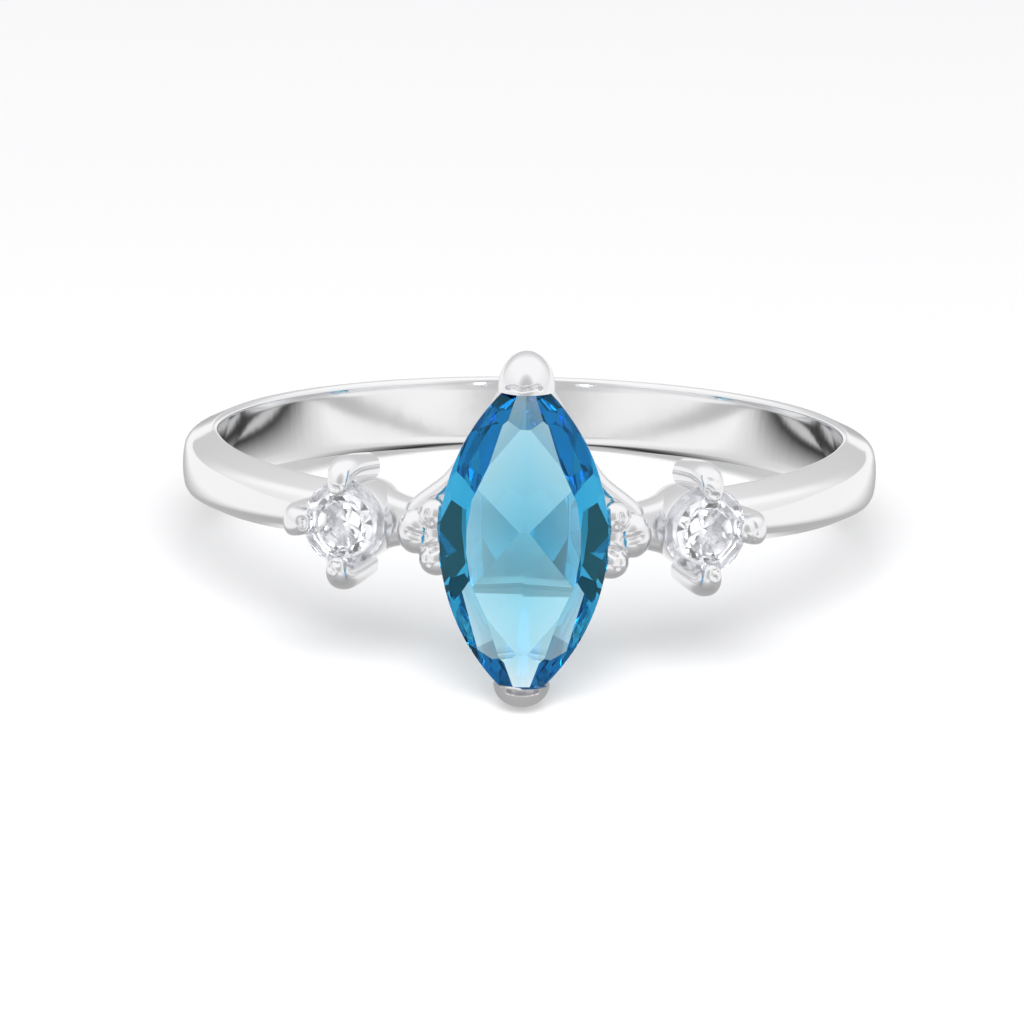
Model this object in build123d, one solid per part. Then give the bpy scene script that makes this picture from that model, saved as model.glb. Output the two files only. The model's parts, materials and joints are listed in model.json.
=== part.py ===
"""Three-stone ring: a marquise between two round stones, on a tapered shank.

Everything is built in the ring's own frame (bore axis on Z, centre stone towards -Y, millimetres)
and then tipped as one rigid whole into the attitude in which the ring lies on a table:
on its lower tip claw and on the back of the shank.  The origin is the centre of the finger bore.
Each stone and its claws are built in a stone frame: X across, Y along the finger, Z outwards.
"""
from build123d import *
from math import asin, atan2, cos, degrees, radians, sin, sqrt
import os

# ---- shank ----------------------------------------------------------------------------------
BORE_DIAMETER = 17.2            # finger size, about US 7
SHANK_WALL = 1.00               # radial thickness at the crown of the section
SHANK_WIDTH_BACK = 2.20         # along the finger, to the sharp corners before they are rounded
SHANK_WIDTH_HEAD = 1.60         # the same, where the shank meets the side heads
RIDGE_WIDTH_BACK = 1.36         # between the two soft ridges of the outer face
RIDGE_WIDTH_HEAD = 0.80
CROWN_RISE = 0.12               # how far the outer face bulges beyond its ridges
INNER_EDGE_ROUND = 0.16
BORE_STOCK = 0.20               # left inside the bore when the sections are swept, then bored out
RIDGE_ROUND = 0.22
TAPER_START_ANGLE = 80.0        # from the front; behind it the shank keeps its full width
BACK_ANGLES = (130.0, 180.0, 230.0)     # more sections round the back

# ---- marquise stone -------------------------------------------------------------------------
MARQUISE_LENGTH = 9.0
MARQUISE_WIDTH = 4.5
MARQUISE_HEIGHT = 2.40          # finger bore to the girdle plane
MARQUISE_GIRDLE = 0.12
MARQUISE_CROWN = 0.66
MARQUISE_PAVILION = 1.30
MARQUISE_TABLE_RATIO = 0.60
MARQUISE_MAIN_ANGLES = (0.0, 27.0, 90.0)
MARQUISE_STAR_ANGLES = (13.0, 48.0)
MARQUISE_HALF_ANGLES = (8.0, 19.0, 35.0, 47.0)
MARQUISE_PAVILION_FACETS = ((0.0, 1.11), (22.0, 1.02), (36.0, 0.84), (47.0, 0.62))  # angle, slope
MARQUISE_CULET_FACETS = ((0.0, 0.22), (90.0, 0.288))

# ---- round side stones ----------------------------------------------------------------------
ROUND_DIAMETER = 2.35
ROUND_HEIGHT = 1.90             # finger bore to the girdle plane
STONE_GAP = 1.407               # between the girdles of the centre and side stones, straight across
ROUND_HEAD_TURN = 5.0           # turned forward from the radial direction
ROUND_GIRDLE = 0.06
ROUND_CROWN = 0.34
ROUND_PAVILION = 0.96
ROUND_TABLE_RATIO = 0.57
STAR_SLOPE = 0.30
GIRDLE_FACET_STEEPNESS = 1.22   # girdle facets against the main facets

# ---- claws at the marquise tips -------------------------------------------------------------
TIP_CLAW_WIDTH = 1.50
UPPER_CLAW_OVERLAP = 0.62       # how much of the stone's length the claw covers
LOWER_CLAW_OVERLAP = 0.52
TIP_CLAW_FRONT = 0.64           # front of the claw, above the girdle plane
TIP_CLAW_DEPTH = 1.15           # heel of the claw, below the girdle plane
UPPER_CLAW_WALL = 0.54          # metal beyond the stone's tip
LOWER_CLAW_WALL = 0.12

# ---- open gallery of the centre head --------------------------------------------------------
ARM_DIAMETER = 0.52
ARM_DROP = 0.80                 # arm centre line below the girdle plane
ARM_TOP_X = 0.32                # sideways from the tip
ARM_TOP_DROP = 0.64             # the arm rises to its claw
ARM_TOP_SETBACK = 0.38          # from the stone's tip back to the arm's end
ARM_WAIST_SETBACK = 2.00        # the same, back to the arm's waist
ARM_WAIST_INSET = 0.424         # waist inside the stone's outline
ARM_KNEE_SETOUT = 0.80          # knee beyond the trefoil's side lobe, along the finger
ARM_KNEE_INSET = 0.240          # knee inside the stone's outline
ARM_FOOT_RISE = 0.82            # up the stem of the trefoil's side lobe, from the bridge

# ---- side heads -----------------------------------------------------------------------------
FOOT_CLEARANCE = 0.12           # the feet of the heads stand clear of the finger
COLLET_RIM_INSET = 0.055        # collet rim inside the stone's girdle
COLLET_RIM_DROP = 0.10          # collet rim below the girdle plane
COLLET_LEDGE = 0.38             # from the rim in to the through hole
COLLET_SWELL = 0.03             # waist of the barrel beyond its rim
COLLET_TAPER = 0.08             # foot of the barrel inside its rim
COLLET_WINDOW_RADIUS = 0.17     # small round window towards the centre stone
COLLET_WINDOW_DROP = 0.36
CLAW_THICKNESS = 0.62
CLAW_WIDTH = 0.74
CLAW_NOTCH = 0.03               # depth of the notch that takes the girdle
CLAW_LEAN = 0.16                # how far a claw's foot stands in from its notch
CLAW_BULGE = 0.04               # outward bow of a claw below the notch
CLAW_HOOK = 0.34                # how far a tip reaches in over the stone
CLAW_RISE = 0.40                # centre of a claw's tip above the girdle plane
OUTER_CLAW_WIDTH = 0.86         # the claw on the shoulder is an oval, longer along the finger

# ---- bridges and trefoils -------------------------------------------------------------------
BRIDGE_WIDTH = 1.14
BRIDGE_WALL = 1.15
BRIDGE_ROUND = 0.24
BRIDGE_LAP = 0.10               # bridge end under the centre stone's edge
TREFOIL_OFFSET = 0.37           # trefoil centre beyond the centre stone's edge
TREFOIL_RISE = 0.06             # tops of the lobes above the marquise's girdle plane
TREFOIL_CORE_RADIUS = 0.34
TREFOIL_CORE_DROP = 0.34        # core top below the tops of the lobes
OUTER_LOBE_REACH = 0.52
SIDE_LOBE_REACH = 0.64
SIDE_LOBE_ANGLE = 104.0
OUTER_LOBE_RADIUS = 0.46
SIDE_LOBE_RADIUS = 0.42
DIMPLE_RADIUS = 0.45
DIMPLE_DEPTH = 0.10

# ---- worked out from the sizes above --------------------------------------------------------
BORE_RADIUS = BORE_DIAMETER / 2
FOOT_RADIUS = BORE_RADIUS + FOOT_CLEARANCE
MARQUISE_GIRDLE_RADIUS = BORE_RADIUS + MARQUISE_HEIGHT
MARQUISE_HALF_LENGTH = MARQUISE_LENGTH / 2
MARQUISE_HALF_WIDTH = MARQUISE_WIDTH / 2
MARQUISE_ARC = (MARQUISE_HALF_LENGTH ** 2 + MARQUISE_HALF_WIDTH ** 2) / MARQUISE_WIDTH
ROUND_RADIUS = ROUND_DIAMETER / 2
ROUND_GIRDLE_RADIUS = BORE_RADIUS + ROUND_HEIGHT
ROUND_FOOT_Z = FOOT_RADIUS - ROUND_GIRDLE_RADIUS
ROUND_HEAD_X = MARQUISE_HALF_WIDTH + STONE_GAP + ROUND_RADIUS
ROUND_HEAD_ANGLE = degrees(asin(ROUND_HEAD_X / ROUND_GIRDLE_RADIUS))
COLLET_RIM_RADIUS = ROUND_RADIUS - COLLET_RIM_INSET
COLLET_WAIST_RADIUS = COLLET_RIM_RADIUS + COLLET_SWELL
COLLET_FOOT_RADIUS = COLLET_RIM_RADIUS - COLLET_TAPER
COLLET_HOLE_RADIUS = COLLET_RIM_RADIUS - COLLET_LEDGE
BRIDGE_INNER_X = MARQUISE_HALF_WIDTH - BRIDGE_LAP
TREFOIL_X = MARQUISE_HALF_WIDTH + TREFOIL_OFFSET
TREFOIL_SEAT_RADIUS = FOOT_RADIUS + BRIDGE_WALL - BRIDGE_ROUND


def ring_point(angle, radius, z=0.0):
    """Point at an angle from the front (+ towards +X) and a distance from the bore axis."""
    a = radians(angle)
    return Vector(radius * sin(a), -radius * cos(a), z)


def section_plane(angle):
    """Plane across the band at an angle from the front: X outwards, Y along the finger."""
    return Plane(origin=(0, 0, 0), x_dir=ring_point(angle, 1), z_dir=ring_point(angle + 90, 1))


def stone_frame(angle, girdle_radius, facing):
    """Frame of a stone: origin in its girdle plane, X round the ring, Y along the finger, Z outwards."""
    return Plane(origin=ring_point(angle, girdle_radius), x_dir=ring_point(facing + 90, 1),
                 z_dir=ring_point(facing, 1))


CENTRE = stone_frame(0, MARQUISE_GIRDLE_RADIUS, 0)
SIDE = stone_frame(ROUND_HEAD_ANGLE, ROUND_GIRDLE_RADIUS, ROUND_HEAD_ANGLE - ROUND_HEAD_TURN)


# ---- shank ----------------------------------------------------------------------------------
def shank_section(angle, width, ridge_width):
    """Sloping shoulders and a crowned outer face between two soft ridges, with stock left in the bore."""
    outer = BORE_RADIUS + SHANK_WALL
    ridge = outer - CROWN_RISE
    stock = BORE_RADIUS - BORE_STOCK
    slope = (width - ridge_width) / 2 / (ridge - BORE_RADIUS)
    half = width / 2 + slope * BORE_STOCK
    crown = ThreePointArc((ridge, ridge_width / 2), (outer, 0), (ridge, -ridge_width / 2))
    rest = Polyline((ridge, -ridge_width / 2), (stock, -half), (stock, half), (ridge, ridge_width / 2))
    face = make_face([crown, rest])
    face = fillet([v for v in face.vertices() if abs(v.X - ridge) < 1e-6], RIDGE_ROUND)
    return section_plane(angle) * face


def is_bore_edge(edge):
    """True for the two long edges that run round the bore."""
    distances = [Vector(point.X, point.Y).length for point in (edge @ 0.2, edge @ 0.5, edge @ 0.8)]
    return edge.length > BORE_DIAMETER and max(distances) - BORE_RADIUS < 1e-3


def make_shank(blank):
    """Sections set round the back from head to head, bored to the finger size, trimmed to the heads."""
    front = [(ROUND_HEAD_ANGLE, SHANK_WIDTH_HEAD, RIDGE_WIDTH_HEAD),
             (TAPER_START_ANGLE, SHANK_WIDTH_BACK, RIDGE_WIDTH_BACK)]
    back = [(angle, SHANK_WIDTH_BACK, RIDGE_WIDTH_BACK) for angle in BACK_ANGLES]
    stations = front + back + [(360 - angle, width, ridge) for angle, width, ridge in front[::-1]]
    sections = [shank_section(*station) for station in stations]
    first = stations[0][0]
    last = stations[-1][0]
    path = CenterArc((0, 0, 0), BORE_RADIUS, first - 90, last - first)
    shank = sweep(sections=sections, path=path, multisection=True)
    shank -= Cylinder(BORE_RADIUS, 2 * SHANK_WIDTH_BACK)
    shank = fillet([edge for edge in shank.edges() if is_bore_edge(edge)], INNER_EDGE_ROUND)
    return shank - blank - mirror(blank, about=Plane.YZ)


# ---- stones ---------------------------------------------------------------------------------
def grind(stone, angle, reach, height, rise, run):
    """Flat facet through the point at `reach` and `height`, facing `angle`, falling `rise` per `run`."""
    across = Vector(cos(radians(angle)), sin(radians(angle)), 0)
    normal = across * abs(rise) + Vector(0, 0, run if rise >= 0 else -run)
    origin = across * reach + Vector(0, 0, height)
    return split(stone, bisect_by=Plane(origin=origin, z_dir=normal), keep=Keep.BOTTOM)


def four_ways(angles):
    """Angles in the first quadrant with their mirror images, without repeats."""
    turned = [(a % 360, (180 - a) % 360, (180 + a) % 360, (-a) % 360) for a in angles]
    return sorted({angle for group in turned for angle in group})


def marquise_reach(angle):
    """Distance from the centre to the tangent of the outline that faces an angle."""
    folded = radians(abs((angle + 90) % 180 - 90))
    tip = atan2(MARQUISE_HALF_LENGTH, MARQUISE_ARC - MARQUISE_HALF_WIDTH)
    if folded > tip:
        return MARQUISE_HALF_LENGTH * sin(folded)
    return MARQUISE_ARC - (MARQUISE_ARC - MARQUISE_HALF_WIDTH) * cos(folded)


def marquise_side(y):
    """Half width of the outline at a distance from its middle along the finger."""
    return sqrt(MARQUISE_ARC ** 2 - y ** 2) - MARQUISE_ARC + MARQUISE_HALF_WIDTH


def marquise_outline():
    """Two equal arcs that meet in a point at each tip."""
    tip = (0, MARQUISE_HALF_LENGTH)
    tail = (0, -MARQUISE_HALF_LENGTH)
    right = ThreePointArc(tail, (MARQUISE_HALF_WIDTH, 0), tip)
    left = ThreePointArc(tip, (-MARQUISE_HALF_WIDTH, 0), tail)
    return make_face([right, left])


def make_marquise():
    top = MARQUISE_GIRDLE / 2
    table = top + MARQUISE_CROWN
    culet = -top - MARQUISE_PAVILION
    stone = extrude(Pos(0, 0, culet) * marquise_outline(), table - culet)
    for angle in four_ways(MARQUISE_MAIN_ANGLES):
        reach = marquise_reach(angle)
        stone = grind(stone, angle, reach, top, MARQUISE_CROWN, reach * (1 - MARQUISE_TABLE_RATIO))
    for angle in four_ways(MARQUISE_HALF_ANGLES):
        reach = marquise_reach(angle)
        run = reach * (1 - MARQUISE_TABLE_RATIO) / GIRDLE_FACET_STEEPNESS
        stone = grind(stone, angle, reach, top, MARQUISE_CROWN, run)
    for angle in four_ways(MARQUISE_STAR_ANGLES):
        stone = grind(stone, angle, marquise_reach(angle) * MARQUISE_TABLE_RATIO, table, STAR_SLOPE, 1)
    for first, slope in MARQUISE_PAVILION_FACETS:
        for angle in four_ways([first]):
            stone = grind(stone, angle, marquise_reach(angle), -top, -slope, 1)
    for first, slope in MARQUISE_CULET_FACETS:
        for angle in four_ways([first]):
            stone = grind(stone, angle, 0, culet, -slope, 1)
    return stone


def make_round():
    """Round brilliant: eight mains above and below, stars round the table, halves at the girdle."""
    top = ROUND_GIRDLE / 2
    table = top + ROUND_CROWN
    culet = -top - ROUND_PAVILION
    run = ROUND_RADIUS * (1 - ROUND_TABLE_RATIO)
    slope = ROUND_PAVILION / ROUND_RADIUS
    stone = extrude(Pos(0, 0, culet) * Circle(ROUND_RADIUS), table - culet)
    for main in range(8):
        angle = main * 45
        stone = grind(stone, angle, ROUND_RADIUS, top, ROUND_CROWN, run)
        stone = grind(stone, angle, ROUND_RADIUS, -top, -slope, 1)
        stone = grind(stone, angle + 22.5, ROUND_RADIUS * ROUND_TABLE_RATIO, table, STAR_SLOPE, 1)
    for half in range(16):
        angle = half * 22.5 + 11.25
        stone = grind(stone, angle, ROUND_RADIUS, top, ROUND_CROWN, run / GIRDLE_FACET_STEEPNESS)
        stone = grind(stone, angle, ROUND_RADIUS, -top, -slope * GIRDLE_FACET_STEEPNESS, 1)
    return stone


# ---- centre head ----------------------------------------------------------------------------
def make_tip_claw(overlap, wall):
    """Domed cap over the stone's tip, cut flat where its lip crosses the stone."""
    edge = MARQUISE_HALF_LENGTH - overlap
    half_depth = (TIP_CLAW_FRONT + TIP_CLAW_DEPTH) / 2
    dome = scale(Rot(90, 0, 0) * Sphere(1), by=(TIP_CLAW_WIDTH / 2, overlap + wall, half_depth))
    claw = Pos(0, edge, TIP_CLAW_FRONT - half_depth) * dome
    return split(claw, bisect_by=Plane(origin=(0, edge, 0), z_dir=(0, 1, 0)), keep=Keep.TOP)


def trefoil_frame():
    """Frame of a trefoil: origin on the bridge under its middle, Z outwards."""
    angle = degrees(atan2(TREFOIL_X, MARQUISE_GIRDLE_RADIUS + TREFOIL_RISE))
    return stone_frame(angle, TREFOIL_SEAT_RADIUS, angle)


def make_arm(overlap):
    """Round wire under the girdle, from the flat of a tip claw to the stem of the trefoil's side lobe."""
    turn = radians(SIDE_LOBE_ANGLE)
    stem = Vector(SIDE_LOBE_REACH * cos(turn), SIDE_LOBE_REACH * sin(turn), ARM_FOOT_RISE)
    foot = CENTRE.to_local_coords(trefoil_frame().from_local_coords(stem))
    waist_y = MARQUISE_HALF_LENGTH - ARM_WAIST_SETBACK
    knee_y = foot.Y + ARM_KNEE_SETOUT
    top = Vector(ARM_TOP_X, MARQUISE_HALF_LENGTH - ARM_TOP_SETBACK, -ARM_TOP_DROP)
    waist = Vector(marquise_side(waist_y) - ARM_WAIST_INSET, waist_y, -ARM_DROP)
    knee = Vector(marquise_side(knee_y) - ARM_KNEE_INSET, knee_y, -ARM_DROP)
    path = Spline(top, waist, knee, foot)
    start = Plane(origin=path @ 0, z_dir=path % 0)
    arm = sweep(sections=start * Circle(ARM_DIAMETER / 2), path=path)
    flat = Plane(origin=(0, MARQUISE_HALF_LENGTH - overlap, 0), z_dir=(0, 1, 0))
    return split(arm, bisect_by=flat, keep=Keep.BOTTOM)


# ---- side heads -----------------------------------------------------------------------------
def collet_profile(hole_radius):
    """Half section of a barrel-shaped cup, on the head's own axis."""
    rim = -COLLET_RIM_DROP
    waist = (rim + ROUND_FOOT_Z) / 2
    barrel = ThreePointArc((COLLET_FOOT_RADIUS, ROUND_FOOT_Z), (COLLET_WAIST_RADIUS, waist),
                           (COLLET_RIM_RADIUS, rim))
    rest = Polyline((COLLET_RIM_RADIUS, rim), (hole_radius, rim), (hole_radius, ROUND_FOOT_Z),
                    (COLLET_FOOT_RADIUS, ROUND_FOOT_Z))
    return Plane.XZ * make_face([barrel, rest])


def make_collet():
    cup = revolve(collet_profile(COLLET_HOLE_RADIUS), Axis.Z)
    window = Pos(-COLLET_WAIST_RADIUS, 0, -COLLET_WINDOW_DROP) * Rot(0, 90, 0)
    return cup - window * Cylinder(COLLET_WINDOW_RADIUS, COLLET_WAIST_RADIUS)


def make_side_claw(width):
    """Bar that stands on the head's foot, bows past the girdle and hooks in over the stone (on +Y)."""
    half = CLAW_THICKNESS / 2
    stand = ROUND_RADIUS - CLAW_NOTCH + half
    bow = stand - CLAW_LEAN / 2 + CLAW_BULGE
    path = Spline((0, stand - CLAW_LEAN, ROUND_FOOT_Z), (0, bow, ROUND_FOOT_Z / 2),
                  (0, stand, 0), (0, stand - CLAW_HOOK, CLAW_RISE))
    start = Plane(origin=path @ 0, x_dir=(1, 0, 0), z_dir=path % 0)
    bar = sweep(sections=start * Ellipse(width / 2, half), path=path)
    tip = scale(Sphere(half), by=(width / CLAW_THICKNESS, 1, 1))
    return bar + Pos(0, stand - CLAW_HOOK, CLAW_RISE) * tip


# ---- bridges and trefoils -------------------------------------------------------------------
def make_bridge():
    """Short arc of rounded band between a side head and the centre head."""
    middle = FOOT_RADIUS + BRIDGE_WALL / 2
    start = degrees(atan2(BRIDGE_INNER_X, middle))
    section = Pos(middle, 0) * RectangleRounded(BRIDGE_WALL, BRIDGE_WIDTH, BRIDGE_ROUND)
    return revolve(section_plane(start) * section, Axis.Z, ROUND_HEAD_ANGLE - start)


def make_lobe(radius, reach, angle, height):
    """Bead on a round stem, with a shallow dimple in its crown."""
    x = reach * cos(radians(angle))
    y = reach * sin(radians(angle))
    lobe = Cylinder(radius, height - radius, align=(Align.CENTER, Align.CENTER, Align.MIN))
    lobe += Pos(0, 0, height - radius) * Sphere(radius)
    dimple = Pos(0, 0, height - DIMPLE_DEPTH + DIMPLE_RADIUS) * Sphere(DIMPLE_RADIUS)
    return Pos(x, y, 0) * (lobe - dimple)


def make_trefoil():
    """Three beads on the outer face of the bridge: one towards the side head, two beside the stone."""
    height = MARQUISE_GIRDLE_RADIUS + TREFOIL_RISE - TREFOIL_SEAT_RADIUS
    trefoil = Cylinder(TREFOIL_CORE_RADIUS, height - TREFOIL_CORE_DROP,
                       align=(Align.CENTER, Align.CENTER, Align.MIN))
    trefoil += make_lobe(OUTER_LOBE_RADIUS, OUTER_LOBE_REACH, 0, height)
    for turn in (SIDE_LOBE_ANGLE, -SIDE_LOBE_ANGLE):
        trefoil += make_lobe(SIDE_LOBE_RADIUS, SIDE_LOBE_REACH, turn, height)
    return trefoil_frame() * trefoil


# ---- assembly -------------------------------------------------------------------------------
def make_pieces():
    """Every piece in the ring's own frame; where two meet, the softer one is cut to the harder one."""
    pieces = {}
    marquise = CENTRE * make_marquise()
    side_stone = SIDE * make_round()
    blank = SIDE * revolve(collet_profile(0), Axis.Z)
    pieces["marquise_stone"] = marquise
    upper = CENTRE * make_tip_claw(UPPER_CLAW_OVERLAP, UPPER_CLAW_WALL) - marquise
    lower_claw = Rot(0, 0, 180) * make_tip_claw(LOWER_CLAW_OVERLAP, LOWER_CLAW_WALL)
    lower = CENTRE * lower_claw - marquise
    pieces["upper_tip_claw"] = upper
    pieces["lower_tip_claw"] = lower

    side_claw = make_side_claw(CLAW_WIDTH)
    outer_claw = make_side_claw(OUTER_CLAW_WIDTH)
    claws = {"upper_claw": SIDE * side_claw - side_stone,
             "lower_claw": SIDE * (Rot(0, 0, 180) * side_claw) - side_stone,
             "outer_claw": SIDE * (Rot(0, 0, -90) * outer_claw) - side_stone}
    collet = SIDE * make_collet() - side_stone - list(claws.values())
    bridge = make_bridge() - blank - claws["upper_claw"] - claws["lower_claw"]
    trefoil = make_trefoil() - bridge - marquise - blank
    upper_arm = CENTRE * make_arm(UPPER_CLAW_OVERLAP) - marquise - trefoil
    lower_arm = mirror(CENTRE * make_arm(LOWER_CLAW_OVERLAP), about=Plane.XY) - marquise - trefoil
    shank_trim = blank + SIDE * Pos(0, 0, ROUND_FOOT_Z) * Cylinder(COLLET_FOOT_RADIUS, SHANK_WALL)
    shank = make_shank(shank_trim + claws["outer_claw"])

    right = {"side_stone": side_stone, "collet": collet, "bridge": bridge, "trefoil": trefoil,
             "upper_arm": upper_arm, "lower_arm": lower_arm, **claws}
    for name, piece in right.items():
        pieces[f"right_{name}"] = piece
        pieces[f"left_{name}"] = mirror(piece, about=Plane.YZ)
    pieces["shank"] = shank
    return pieces


def rest_tilt(shank, claw):
    """Angle at which the back of the shank and the lower tip claw touch the same table."""
    low = 0.0
    high = 30.0
    for step in range(16):
        tilt = (low + high) / 2
        back = (Rot(-tilt, 0, 0) * shank).bounding_box().min.Z
        front = (Rot(-tilt, 0, 0) * claw).bounding_box().min.Z
        if back > front:
            low = tilt
        else:
            high = tilt
    return tilt


def main():
    os.makedirs("parts", exist_ok=True)
    pieces = make_pieces()
    tilt = rest_tilt(pieces["shank"], pieces["lower_tip_claw"])
    print(f"rest tilt {tilt:.4f} degrees")
    for name, piece in pieces.items():
        export_step(Rot(-tilt, 0, 0) * piece, f"parts/{name}.step")


main()
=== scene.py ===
# %% [markdown]
# # Dressing a three-stone ring
# The ring's solids come from its CAD model, packed as a frame. This lesson gives them their looks: polished
# white metal, a blue marquise, two round brilliants, and a plain studio to see them in. Metal pieces are
# modelled again in bmesh, because a mirror polish shows every flat and every hard edge. The round stones
# keep their CAD meshes, because a cut stone really is made of flat facets, and the marquise is ground facet
# by facet.

# %% Load the frame
import json
from math import atan2, cos, degrees, exp, pi, radians, sin

import bmesh
import bpy
from mathutils import Matrix, Vector

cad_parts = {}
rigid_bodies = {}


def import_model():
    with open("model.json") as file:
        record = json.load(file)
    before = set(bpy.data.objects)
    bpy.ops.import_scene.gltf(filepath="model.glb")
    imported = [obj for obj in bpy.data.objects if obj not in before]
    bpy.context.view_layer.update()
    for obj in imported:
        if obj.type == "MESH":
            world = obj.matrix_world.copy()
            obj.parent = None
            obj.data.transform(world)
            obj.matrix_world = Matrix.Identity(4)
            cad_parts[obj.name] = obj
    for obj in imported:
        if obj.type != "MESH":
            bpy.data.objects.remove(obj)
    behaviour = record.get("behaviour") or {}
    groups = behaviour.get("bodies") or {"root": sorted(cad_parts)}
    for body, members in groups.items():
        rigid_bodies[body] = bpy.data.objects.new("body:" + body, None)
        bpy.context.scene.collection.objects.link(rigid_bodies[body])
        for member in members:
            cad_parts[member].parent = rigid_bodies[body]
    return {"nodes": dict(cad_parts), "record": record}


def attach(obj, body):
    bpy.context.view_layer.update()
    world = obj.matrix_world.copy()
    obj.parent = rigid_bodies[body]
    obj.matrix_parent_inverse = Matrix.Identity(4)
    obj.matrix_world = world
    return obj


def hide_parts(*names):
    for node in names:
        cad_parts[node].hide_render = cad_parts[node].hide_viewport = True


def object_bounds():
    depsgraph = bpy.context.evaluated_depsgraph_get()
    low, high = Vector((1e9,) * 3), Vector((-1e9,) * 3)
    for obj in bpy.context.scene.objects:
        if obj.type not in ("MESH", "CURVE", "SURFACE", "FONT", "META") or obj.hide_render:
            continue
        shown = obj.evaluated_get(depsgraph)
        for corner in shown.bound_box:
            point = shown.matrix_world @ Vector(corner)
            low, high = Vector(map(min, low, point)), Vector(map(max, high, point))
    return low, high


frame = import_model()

# %% [markdown]
# ## The ring's own frame
# The ring lies tipped on the table, on its lower tip claw and the back of its shank. Pieces are easier to
# make in the ring's own frame, in millimetres, with the bore's axis on Z and the centre stone towards -Y.
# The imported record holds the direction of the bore, so one matrix takes a finished piece from there to its
# place.

# %% The ring's own frame
CAD_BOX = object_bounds()
BORE = frame["record"]["mounts"][0]
BORE_RADIUS = BORE["dims"]["r_mm"]
TILT = atan2(BORE["axis"][1], BORE["axis"][2])
RING = Matrix.Rotation(-TILT, 4, "X") @ Matrix.Scale(0.001, 4)
print("bore radius", BORE_RADIUS, "mm, tipped", round(degrees(TILT), 3), "degrees")


def ring_box(node):
    """Lowest and highest corner of a CAD node in the ring's own frame, in millimetres."""
    back = RING.inverted()
    points = [back @ vertex.co for vertex in frame["nodes"][node].data.vertices]
    low = Vector([min(point[axis] for point in points) for axis in range(3)])
    high = Vector([max(point[axis] for point in points) for axis in range(3)])
    return low, high


def ring_point(angle, radius, z=0.0):
    """Point at an angle in degrees from the front, + towards +X, and a distance from the bore's axis."""
    return Vector((radius * sin(radians(angle)), -radius * cos(radians(angle)), z))


def stone_seat(angle, girdle_radius, facing):
    """Frame of a stone: origin in its girdle plane, X round the ring, Y along the finger, Z outwards."""
    across = ring_point(facing + 90, 1)
    outward = ring_point(facing, 1)
    turn = Matrix((across, outward.cross(across), outward)).transposed().to_4x4()
    return Matrix.Translation(ring_point(angle, girdle_radius)) @ turn


MARQUISE_LOW, MARQUISE_HIGH = ring_box("marquise_stone")
HALF_LENGTH = (MARQUISE_HIGH.z - MARQUISE_LOW.z) / 2
HALF_WIDTH = (MARQUISE_HIGH.x - MARQUISE_LOW.x) / 2
print("marquise", round(2 * HALF_LENGTH, 3), "x", round(2 * HALF_WIDTH, 3), "mm")
CENTRE_GIRDLE_RADIUS = 11.0
SIDE_GIRDLE_RADIUS = 10.5
HEAD_ANGLE = 27.4
SIDE_FACING = 22.4
FOOT_GAP = 0.12
CENTRE = stone_seat(0, CENTRE_GIRDLE_RADIUS, 0)
SIDE = stone_seat(HEAD_ANGLE, SIDE_GIRDLE_RADIUS, SIDE_FACING)
MIRROR = Matrix.Scale(-1, 4, (1, 0, 0))
PLAIN = Matrix.Identity(4)

# %% [markdown]
# ## From bmesh to a finished piece
# A bmesh in millimetres becomes an object, gets modifiers if it needs them, and is evaluated into a plain
# mesh. That mesh is then moved to its place, so the object itself stays at the origin. A mirrored piece has
# its faces turned round again, because a mirror turns a shape inside out.


# %% Helpers that bake and place a piece
def bake(bm, modifiers=()):
    """Mesh of a closed bmesh, in millimetres, with the modifiers applied."""
    bmesh.ops.recalc_face_normals(bm, faces=bm.faces)
    mesh = bpy.data.meshes.new("work")
    bm.to_mesh(mesh)
    bm.free()
    work = bpy.data.objects.new("work", mesh)
    bpy.context.scene.collection.objects.link(work)
    for kind, settings in modifiers:
        modifier = work.modifiers.new(kind.lower(), kind)
        for key, value in settings.items():
            setattr(modifier, key, value)
    bpy.context.view_layer.update()
    depsgraph = bpy.context.evaluated_depsgraph_get()
    baked = bpy.data.meshes.new_from_object(work.evaluated_get(depsgraph))
    bpy.data.objects.remove(work)
    return baked


# %% Helpers that cut one piece with another
def cutter(bm):
    """Object that a Boolean can use; it is removed again by clear_cutters."""
    bmesh.ops.recalc_face_normals(bm, faces=bm.faces)
    mesh = bpy.data.meshes.new("cutter")
    bm.to_mesh(mesh)
    bm.free()
    tool = bpy.data.objects.new("cutter", mesh)
    bpy.context.scene.collection.objects.link(tool)
    return tool


def cut(tool, solver="MANIFOLD"):
    """Modifier entry that takes a cutter away from a piece."""
    return ("BOOLEAN", {"operation": "DIFFERENCE", "solver": solver, "object": tool})


def clear_cutters():
    """Removes every cutter, once the pieces that need them are baked."""
    for tool in [item for item in bpy.data.objects if item.name.startswith("cutter")]:
        bpy.data.objects.remove(tool)


# %% Helpers that place a piece
def add_piece(mesh, name, seat, nodes, sharp=40):
    """Moves a baked mesh to its seat in the ring, attaches it to the root body and hides the CAD nodes it
    stands for.
    """
    mesh = mesh.copy()
    mesh.transform(RING @ seat)
    if seat.determinant() < 0:
        mesh.flip_normals()
    mesh.shade_smooth()
    mesh.set_sharp_from_angle(angle=radians(sharp))
    piece = bpy.data.objects.new(name, mesh)
    bpy.context.scene.collection.objects.link(piece)
    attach(piece, "root")
    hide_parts(*nodes)
    return piece


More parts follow.
